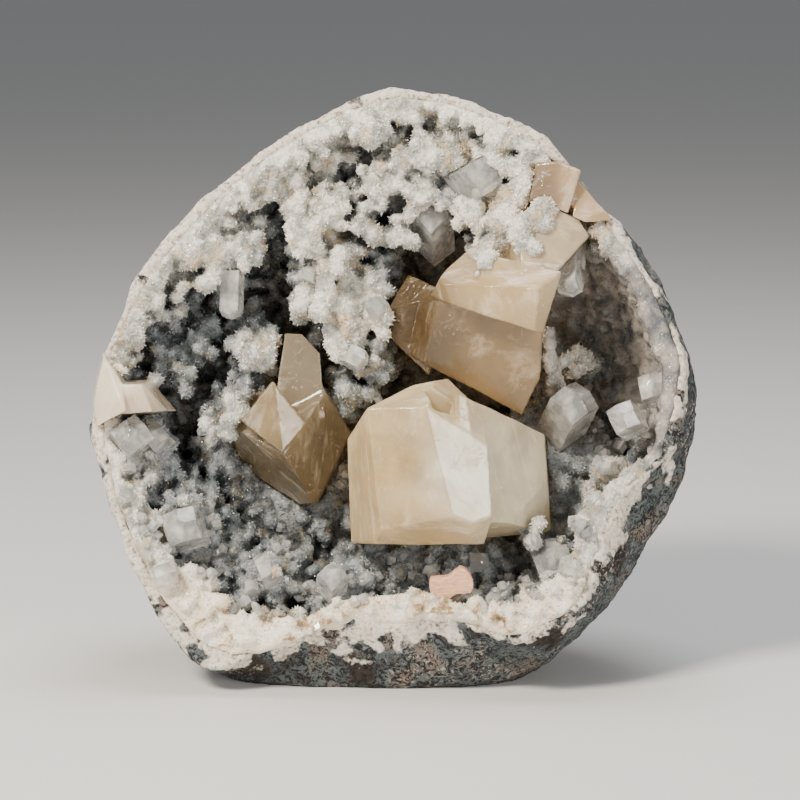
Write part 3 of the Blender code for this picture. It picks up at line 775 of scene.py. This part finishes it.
def surfaceSpots(obj, count, chance, allowed):
    # random points and normals on a mesh, by area and by how far each face is allowed
    mesh = obj.data
    mesh.calc_loop_triangles()
    tris = np.array([t.vertices[:] for t in mesh.loop_triangles])
    places = vertexPlaces(obj)
    a, b, c = (places[tris[:, i]] for i in range(3))
    cross = np.cross(b - a, c - a)
    area = np.linalg.norm(cross, axis=1)
    normals = cross / np.maximum(area, 1e-15)[:, None]
    total = np.cumsum(area * allowed((a + b + c) / 3, normals))
    picks = np.searchsorted(total, np.array([chance.random() for _ in range(count)]) * total[-1])
    picks = np.minimum(picks, len(tris) - 1)
    u = np.array([chance.random() for _ in range(count)])
    v = np.array([chance.random() for _ in range(count)])
    fold = u + v > 1
    u[fold], v[fold] = 1 - u[fold], 1 - v[fold]
    spots = a[picks] + (b - a)[picks] * u[:, None] + (c - a)[picks] * v[:, None]
    return spots, normals[picks]


def standing(spot, normal, tilt, width, length, chance):
    # the place of a crystal that stands out from a surface
    lean = Vector([chance.uniform(-tilt, tilt) for _ in range(3)])
    axis = (Vector(normal) + lean).normalized().to_track_quat("Z", "Y").to_matrix().to_4x4()
    turn = Matrix.Rotation(chance.uniform(0, math.tau), 4, "Z")
    return Matrix.Translation(spot) @ axis @ turn @ Matrix.Diagonal((width, width, length, 1))


calciteNodes = [name for name in frame["nodes"] if name.startswith("calcite_")]
clearNodes = [name for name in frame["nodes"] if name.startswith("apophyllite_")]


def treeOf(objects):
    verts, faces = [], []
    for obj in objects:
        start = len(verts)
        verts += [v.co.copy() for v in obj.data.vertices]
        faces += [tuple(start + i for i in p.vertices) for p in obj.data.polygons]
    return BVHTree.FromPolygons(verts, faces)


def nodesNamed(names):
    return [frame["nodes"][name] for name in names]


crystalTree = treeOf(nodesNamed(calciteNodes + clearNodes))
rockTree = treeOf(nodesNamed(["rock_shell"]))
carrierTree = treeOf(nodesNamed(["crystal_crust"] + calciteNodes + clearNodes))


def lineOfSight(column, row):
    # the way from the camera through the photo's pixel
    middle = view["photoSide"] / 2
    reach = view["lens"] / cameraData.sensor_width * view["photoSide"]
    ahead = Vector(((column - middle) / reach, (middle - row) / reach, -1))
    return (camera.rotation_euler.to_matrix() @ ahead).normalized()


def seenAt(surface, column, row):
    # where the photo's pixel falls on a surface, with the surface's normal there
    spot, normal, _, _ = surface.ray_cast(camera.location, lineOfSight(column, row))
    return spot, normal


def insideCrystal(spot, margin):
    found, normal, _, distance = crystalTree.find_nearest(Vector(spot))
    return (Vector(spot) - found).dot(normal) < 0 or distance < margin


def nearRock(spot, margin):
    return rockTree.find_nearest(Vector(spot))[3] < margin


# druse crust
crust = {
    "seed": 5, "tries": 9000,
    "lumpRadius": (2.0 * mm, 5.0 * mm, 3.2 * mm),  # least, most and usual
    "stretch": (0.85, 1.15), "lumpAtMouth": 2 * mm,  # the largest radius there
    # shares of a lump's radius or, for onFingers, of its size
    "spacing": 0.84, "raised": 0.7, "domeHeight": 0.75, "onFingers": 0.6,
    "offRock": 0.6, "offCrystals": 0.7,
    "leanBack": 0.35, "beforeMouth": -2 * mm,  # the faces that can carry a lump
    "voxel": 1.25 * mm, "texture": (1.8 * mm, 0.55 * mm),
    "tuckFrom": 0.7 * mm, "tuck": 1.4 * mm,
    "reach": 9 * mm,  # what is nearer than this shades it
    "slices": {  # its ends from left to right
        "Left": (-150 * mm, -35 * mm), "Middle": (-35 * mm, 36 * mm), "Right": (36 * mm, 150 * mm),
    },
    "overlap": 3 * mm,  # of each slice over the next
}
chance = random.Random(crust["seed"])
wall = copyNode("crystal_crust", "druseWall")

# its outside is pushed a little into the rock, so that no dark line shows between them
bpy.context.view_layer.update()
for vertex in wall.data.vertices:
    if nearRock(vertex.co, crust["tuckFrom"]):
        vertex.co += vertex.normal * crust["tuck"]


def openFaces(middles, normals):
    # faces of the hollow and of the rim, and not those against the rock
    faceFront = normals[:, 1] < crust["leanBack"]
    return (faceFront & (behindMouth(middles) > crust["beforeMouth"])).astype(float)


# painted light and shade on the druse: places whiter than its depth gives are painted light on
# the lit fingers and knobs, and places darker are painted shade in shaded hollows such as the
# left wall: column and row in the photo, radius in mm, and mm of depth less or more. The
# attribute "behindMouth" takes them in.
lightAndShadeSpots = (
    (305, 205, 14, -24), (318, 238, 10, -24), (350, 300, 14, -28), (345, 335, 12, -24),
    (232, 225, 12, -10), (610, 470, 20, -26), (640, 500, 16, -20), (270, 345, 10, -18),
    (505, 225, 16, -20), (395, 130, 24, -8), (200, 300, 14, 12), (165, 330, 14, 10),
    (605, 462, 9, -40), (592, 492, 8, -40), (580, 520, 8, -40), (566, 530, 8, -40),
    (420, 165, 12, -8), (330, 165, 12, -8), (470, 160, 10, -8), (255, 345, 8, -12),
    (576, 355, 12, -26), (255, 300, 14, 14), (205, 430, 14, 10), (180, 420, 14, 8),
    (440, 195, 10, 8),
)
# the shifts from which a place has small lumps, and from which it is hardly shaded
whiteFrom = {"smallLumps": -24, "unshaded": -20, "addedOpenness": 0.35}
lightAndShadeMiddles = [
    (seenAt(carrierTree, column, row)[0], wide, shift) for column, row, wide, shift in lightAndShadeSpots
]


def onFinger(spot):
    # the whitest places are the hanging fingers, whose lumps are small
    return any(
        shift <= whiteFrom["smallLumps"] and np.linalg.norm(spot - np.array(middle)) < wide * mm
        for middle, wide, shift in lightAndShadeMiddles
    )


spots, normals = surfaceSpots(wall, crust["tries"], chance, openFaces)
lumpPlaces = []
taken = np.zeros((0, 4))
for spot, normal, isBare in zip(spots, normals, bareness(spots) > 0.5):
    radius = chance.triangular(*crust["lumpRadius"])
    if behindMouth(spot[None])[0] < crust["lumpAtMouth"]:
        radius = min(radius, crust["lumpAtMouth"])
    spacing = crust["spacing"]
    if onFinger(spot):
        radius *= crust["onFingers"]
        spacing *= crust["onFingers"]
    if nearRock(spot, radius * crust["offRock"]):
        continue
    if insideCrystal(spot, radius * crust["offCrystals"]):
        continue
    middle = spot + normal * radius * (0 if isBare else crust["raised"])
    apart = np.linalg.norm(taken[:, :3] - middle, axis=1)
    if (apart < (taken[:, 3] + radius) * spacing).any():
        continue
    taken = np.vstack([taken, (*middle, radius)])
    if isBare:  # low domes
        lumpPlaces.append(standing(
            Vector(spot), normal, 0.1, radius, radius * crust["domeHeight"], chance,
        ))
        continue
    sizes = [chance.uniform(*crust["stretch"]) * radius for _ in range(3)]
    lumpPlaces.append(Matrix.Translation(middle) @ Matrix.Diagonal(sizes + [1]))

# druse that has grown over the crystals and down the walls, by its place in the photo
drapes = (
    # lump radius in mm, column, row, half width and half height in pixels, how many
    (3.4, 482, 225, 18, 34, 44), (3.4, 508, 222, 22, 32, 50), (3.0, 535, 215, 16, 20, 22),
    (3.2, 402, 131, 9, 9, 14), (3.2, 510, 147, 9, 9, 14), (3.0, 397, 200, 8, 8, 12),
    (3.0, 350, 165, 10, 10, 12), (3.0, 224, 237, 7, 7, 8), (2.8, 375, 157, 7, 6, 8),
    (2.6, 486, 262, 10, 16, 9), (2.6, 528, 246, 14, 12, 9), (2.8, 460, 230, 12, 24, 10),
    (2.8, 548, 212, 8, 8, 4), (2.6, 230, 470, 8, 36, 12), (2.0, 530, 530, 9, 10, 9),
    (2.8, 553, 360, 8, 26, 14), (3.2, 578, 352, 15, 24, 50), (2.8, 352, 398, 5, 20, 10),
    (2.6, 605, 462, 10, 14, 16), (2.6, 592, 492, 9, 16, 16), (2.4, 580, 520, 8, 12, 12),
    (3.0, 568, 530, 10, 14, 20), (2.6, 560, 505, 7, 10, 12),
    (2.8, 282, 545, 8, 30, 10), (2.8, 328, 535, 9, 30, 10), (3.0, 270, 345, 9, 26, 14),
    (3.2, 330, 250, 34, 14, 16), (2.4, 600, 240, 14, 10, 10), (2.4, 575, 375, 10, 14, 8),
)
drapeSize = (0.6, 1.15)  # least and most share of the radius
# knobs that hang beside the amber calcites and reach the right wall
knobs = (
    # column, row, y in mm, lump radius in mm
    (547, 335, -6, 3.0), (551, 345, -4, 3.2), (549, 356, -2, 3.2), (553, 367, 0, 3.4),
    (555, 378, 4, 3.2), (551, 388, 8, 2.8), (561, 362, 4, 3.0), (569, 357, 8, 3.2),
    (577, 352, 12, 3.0), (586, 358, 16, 3.4), (592, 364, 20, 3.2), (580, 368, 14, 3.4),
    (571, 372, 10, 3.0), (597, 360, 26, 3.2), (600, 367, 31, 3.4), (590, 374, 26, 3.2),
)
# each knob also gets a spot of painted light: the druse colour is whitened around it
knobLook = {"lumps": 4, "size": (0.6, 1), "spread": 1.6, "toneRadius": 6, "toneShift": -22}


def addBall(middle, size):
    lumpPlaces.append(Matrix.Translation(middle) @ Matrix.Diagonal((size, size, size, 1)))


for column, row, y, radius in knobs:
    ahead = lineOfSight(column, row)
    middle = camera.location + ahead * ((y * mm - camera.location.y) / ahead.y)
    lightAndShadeMiddles.append((middle, knobLook["toneRadius"], knobLook["toneShift"]))
    for _ in range(knobLook["lumps"]):
        size = radius * chance.uniform(*knobLook["size"]) * mm
        spread = knobLook["spread"]
        addBall(middle + Vector([chance.uniform(-spread, spread) * mm for _ in range(3)]), size)
for radius, column, row, across, down, count in drapes:
    for _ in range(count):
        spot, normal = seenAt(
            carrierTree, chance.triangular(column - across, column + across),
            chance.triangular(row - down, row + down),
        )
        if spot:
            addBall(spot, radius * chance.uniform(*drapeSize) * mm)


def sliceOf(obj, name, low, high):
    part = obj.copy()
    part.data = obj.data.copy()
    part.name = part.data.name = name
    bpy.context.scene.collection.objects.link(part)
    makeActive(part)
    bpy.ops.object.mode_set(mode="EDIT")
    for end, outwards in ((low, -1), (high, 1)):
        bpy.ops.mesh.select_all(action="SELECT")
        bpy.ops.mesh.bisect(
            plane_co=(end, 0, 0), plane_no=(outwards, 0, 0), use_fill=True, clear_outer=True,
        )
    bpy.ops.object.mode_set(mode="OBJECT")
    return part


walls = {}
size, height = crust["texture"]
for side, (low, high) in crust["slices"].items():
    part = sliceOf(wall, "druseWall" + side, low - crust["overlap"], high + crust["overlap"])
    places = [place for place in lumpPlaces if low <= place.translation.x < high]
    joinInto(part, [stampCopies("druseLumps", lumpShape, places)])
    applyModifier(part, "REMESH", mode="VOXEL", voxel_size=crust["voxel"])
    roughen(part, cloudTexture("druseBumps", size, 2), height)
    walls[side] = part
    print(part.name, len(places), "lumps,", triangleCount(part), "triangles")
bpy.data.objects.remove(wall)
wallTree = treeOf(walls.values())


# druse crystals
druse = {
    "seed": 8, "count": 66000,
    "width": (0.8 * mm, 2.4 * mm, 1.1 * mm),  # least, most and usual
    "length": (0.7, 1.2),  # least and most, in widths
    "tilt": 0.7, "sunk": 0.3, "offRock": 0.5 * mm, "offCrystals": 0.3 * mm,
    "rim": 3 * mm, "onRim": 0.25,  # within the first of the rock only this share is kept
    "leanBack": 0.35, "deepest": -45 * mm,
    "fewerBehind": (1.3, 70 * mm, 0.35), "fewerOnBareWall": 0.93,
}


def paintDruse(obj, free):
    # what the druse material goes by: depth in mm with the painted light and shade spots added,
    # bareness, cream stain, and openness, which sets painted shade between the lumps
    places = vertexPlaces(obj)
    depth, free = behindMouth(places) * 1000, np.array(free)
    for middle, wide, shift in lightAndShadeMiddles:
        apart = np.linalg.norm(places - np.array(middle), axis=1) * 1000
        near = np.exp(-(apart / wide) ** 2)
        depth += shift * near
        if shift <= whiteFrom["unshaded"]:  # the white fingers get less painted shade, as light passes through them
            free += whiteFrom["addedOpenness"] * near
    # depth with the painted light and shade spots added, which the colour ramp turns into whiter
    # or darker druse
    paint(obj, "behindMouth", depth)
    paint(obj, "bare", bareness(places))
    paint(obj, "cream", creaminess(places))
    # openness, which the druse material turns into painted shade between the lumps
    paint(obj, "openness", free)


def druseFaces(middles, normals):
    # the crystals stand closest near the mouth and hardly at all on the bare wall
    depth = behindMouth(middles)
    seen = (normals[:, 1] < druse["leanBack"]) & (depth > druse["deepest"])
    most, run, least = druse["fewerBehind"]
    share = np.clip(most - depth / run, least, 1)
    return seen * share * (1 - druse["fewerOnBareWall"] * bareness(middles))


chance = random.Random(druse["seed"])
for side, part in walls.items():
    low, high = crust["slices"][side]
    spots, normals = surfaceSpots(part, druse["count"] // len(walls), chance, druseFaces)
    free = openness(wallTree, spots, normals, crust["reach"])
    places, shares = [], []
    for spot, normal, share in zip(spots, normals, free):
        if not low <= spot[0] < high or nearRock(spot, druse["offRock"]):
            continue
        if insideCrystal(spot, druse["offCrystals"]):
            continue
        if nearRock(spot, druse["rim"]) and chance.random() > druse["onRim"]:
            continue
        width = chance.triangular(*druse["width"])
        length = width * chance.uniform(*druse["length"])
        spot = spot - normal * length * druse["sunk"]
        places.append(standing(spot, normal, druse["tilt"], width, length, chance))
        shares.append(share)
    points = stampCopies("druse" + side, pointShape, places)
    paintDruse(points, np.repeat(shares, len(pointShape.data.vertices)))
    finishPiece(points, drusePointMaterial)
    print(points.name, triangleCount(points), "triangles")

# small clear crystals on the druse
glassy = {
    "seed": 21,
    "fromPhoto": (  # column, row, width in mm, how many, spread in pixels
        (165, 576, 9, 1, 0), (158, 440, 9, 1, 0), (130, 470, 5, 4, 10), (240, 608, 5, 4, 10),
        (358, 601, 4, 2, 5), (428, 574, 6, 2, 6), (475, 562, 8, 1, 0), (497, 594, 4.5, 4, 8),
        (610, 462, 6, 7, 14), (580, 522, 5, 7, 12), (562, 560, 7, 4, 10), (250, 589, 5.5, 1, 0),
        (300, 600, 3.5, 6, 30), (205, 520, 4, 6, 18), (215, 560, 4, 7, 18), (150, 520, 4, 5, 10),
        (640, 415, 5, 4, 10), (311, 278, 7, 1, 0), (380, 310, 7, 1, 0), (352, 357, 8, 1, 0),
        (120, 500, 4, 5, 12), (400, 570, 3.5, 7, 30), (520, 585, 3.5, 7, 20), (270, 560, 4, 5, 20),
        (590, 440, 4, 6, 20), (380, 395, 3, 4, 12), (335, 480, 4, 4, 10), (575, 390, 4, 5, 15),
    ),
    "size": (0.6, 1.1), "length": 1.1, "lookOut": Vector((0, -0.7, 0.25)), "tilt": 0.25,
    "sunk": 0.3, "offCrystals": 0.2 * mm,
}
sprinkled = {
    "count": 130, "width": (1.6 * mm, 4.0 * mm), "length": (0.9, 1.6),
    "lookOut": Vector((0, -0.5, 0.2)), "tilt": 0.6, "offCrystals": 0.6,
    "leanBack": 0.2, "fewerAbove": (100 * mm, -50 * mm), "least": 0.04,
}
chance = random.Random(glassy["seed"])
crystalPlaces = []
for column, row, width, count, spread in glassy["fromPhoto"]:
    for _ in range(count):
        aside, below = (chance.uniform(-spread, spread) for _ in range(2))
        spot, normal = seenAt(wallTree, column + aside, row + below)
        if spot is None or insideCrystal(spot, glassy["offCrystals"]):
            continue
        size = width * mm * (chance.uniform(*glassy["size"]) if count > 1 else 1)
        outwards = (normal + glassy["lookOut"]).normalized()
        spot = spot + outwards * size * glassy["sunk"]
        length = size * glassy["length"]
        crystalPlaces.append(standing(spot, outwards, glassy["tilt"], size, length, chance))


def ledges(middles, normals):
    # the floor, the lower left and the lower right of the hollow carry most of them
    low = np.maximum(ramp(middles[:, 2], *sprinkled["fewerAbove"]), sprinkled["least"])
    return ((normals[:, 1] < sprinkled["leanBack"]) & (behindMouth(middles) > 0)) * low


strewn = []
for part in walls.values():
    strewn += zip(*surfaceSpots(part, sprinkled["count"] // len(walls), chance, ledges))
for spot, normal in strewn:
    size = chance.uniform(*sprinkled["width"])
    if nearRock(spot, size) or insideCrystal(spot, size * sprinkled["offCrystals"]):
        continue
    outwards = (Vector(normal) + sprinkled["lookOut"]).normalized()
    spot = Vector(spot) + outwards * size * glassy["sunk"]
    length = size * chance.uniform(*sprinkled["length"])
    crystalPlaces.append(standing(spot, outwards, sprinkled["tilt"], size, length, chance))
crystals = stampCopies("smallApophyllites", prismShape, crystalPlaces)
finishPiece(crystals, milkyApophyllite)
print("small apophyllites:", len(crystalPlaces))

for part in walls.values():
    makeActive(part)
    bpy.ops.object.shade_smooth()
    outwards = np.zeros(len(part.data.vertices) * 3, np.float32)
    part.data.vertices.foreach_get("normal", outwards)
    paintDruse(
        part, openness(wallTree, vertexPlaces(part), outwards.reshape(-1, 3), crust["reach"]),
    )
    finishPiece(part, druseWallMaterial, ["crystal_crust"])
print("druse walls are painted")


# large crystals
calcites = {
    # name, material, slot, and its colours: column and row in the photo, colour, how clear. The
    # colours are each block's own colour with painted light: faces paler or darker as they are lit
    # the front calcite's middle face is painted paler as a painted sheen, and its right face
    # painted lighter as painted light
    "calcite_front": ("frontCalcite", creamCalcite, "honey_calcite", (
        (395, 460, "#EFD094", 0.5), (440, 400, "#F3DDB2", 0.5), (455, 470, "#FFF4DC", 0.35),
        (515, 470, "#FFF2D6", 0.3), (420, 535, "#EACB93", 0.5), (510, 425, "#F8E8C6", 0.35),
    )),
    "calcite_left": ("leftCalcite", amberCalcite, "honey_calcite", (
        (300, 365, "#CFC0A4", 0.7), (325, 440, "#C0A984", 0.8), (250, 445, "#C4AF8B", 0.8),
        (275, 420, "#C6AC80", 0.55), (300, 480, "#B89F77", 0.8),
    )),
    # the cluster runs darker low on the left and paler up high: partly the blocks' own colours,
    # partly painted shade and light
    "calcite_cluster": ("calciteCluster", amberCalcite, "amber_calcite", (
        (485, 365, "#E3C088", 0.75), (410, 320, "#AC926A", 0.85), (425, 340, "#B89B6C", 0.85),
        (495, 295, "#F4D29A", 0.55), (535, 235, "#F7E3C2", 0.4), (570, 240, "#EFD9B4", 0.5),
    )),
    "calcite_rim_right": ("rimCalciteRight", creamCalcite, "amber_calcite", (
        (545, 185, "#BFA78A", 0.65), (570, 180, "#CDB08C", 0.4), (595, 210, "#D2B48F", 0.3),
    )),
    "calcite_rim_left": ("rimCalciteLeft", creamCalcite, "honey_calcite", (
        (108, 390, "#FFECD4", 0.3), (145, 400, "#F2DEC6", 0.35),
    )),
}


def paintTintWithLight(obj, ownTree, tintsWithLight):
    # every point takes its colour from the named places of its crystal, the near ones most, and
    # with it their painted light and shade
    places = vertexPlaces(obj)
    total, weights = np.zeros((len(places), 4)), np.zeros(len(places))
    for column, row, code, clear in tintsWithLight:
        spot = seenAt(ownTree, column, row)[0]
        if spot is None:
            print(obj.name, "isn't at pixel", column, row)
            continue
        middle = np.array(spot)
        weight = 1 / (np.linalg.norm(places - middle, axis=1) + 2 * mm) ** 3
        total += weight[:, None] * np.array(linearColour(code, clear))
        weights += weight
    layer = obj.data.attributes.new("tint", "FLOAT_COLOR", "POINT")
    layer.data.foreach_set("color", (total / weights[:, None]).astype(np.float32).ravel())


# size and height of the faces' broad waves and small growth steps
face = {"voxel": 0.65 * mm, "waves": (16 * mm, 0.9 * mm), "steps": (2.2 * mm, 0.12 * mm)}
for node, (name, material, slot, tintsWithLight) in calcites.items():
    crystal = copyNode(node, name)
    ownTree = treeOf([crystal])
    applyModifier(crystal, "REMESH", mode="VOXEL", voxel_size=face["voxel"])
    size, height = face["waves"]
    roughen(crystal, cloudTexture(name + "Waves", size, 1), height)
    size, height = face["steps"]
    roughen(crystal, cloudTexture(name + "Steps", size, 2), height)
    makeActive(crystal)
    bpy.ops.object.shade_smooth()
    paintTintWithLight(crystal, ownTree, tintsWithLight)
    finishPiece(crystal, material, [node])
    print(name, triangleCount(crystal), "triangles")

prismEdge = {"width": 0.35 * mm, "segments": 2, "sharperThan": 20}  # the angle in degrees
for node in clearNodes:
    words = node.split("_")
    crystal = copyNode(node, words[0] + "".join(word.title() for word in words[1:]))
    applyModifier(
        crystal, "BEVEL", width=prismEdge["width"], segments=prismEdge["segments"],
        limit_method="ANGLE", angle_limit=math.radians(prismEdge["sharperThan"]),
    )
    finishPiece(crystal, clearApophyllite, [node])
print("apophyllites are dressed")

sheaf = {"voxel": 0.4 * mm, "grain": (1.5 * mm, 0.4 * mm)}
tuft = copyNode("stilbite_tuft", "stilbiteSheaf")
applyModifier(tuft, "REMESH", mode="VOXEL", voxel_size=sheaf["voxel"])
size, height = sheaf["grain"]
roughen(tuft, cloudTexture("tuftGrain", size, 1), height)
finishPiece(tuft, stilbite, ["stilbite_tuft"])
print("the stilbite sheaf is dressed")

for model in (lumpShape, pointShape, prismShape):
    bpy.data.objects.remove(model)
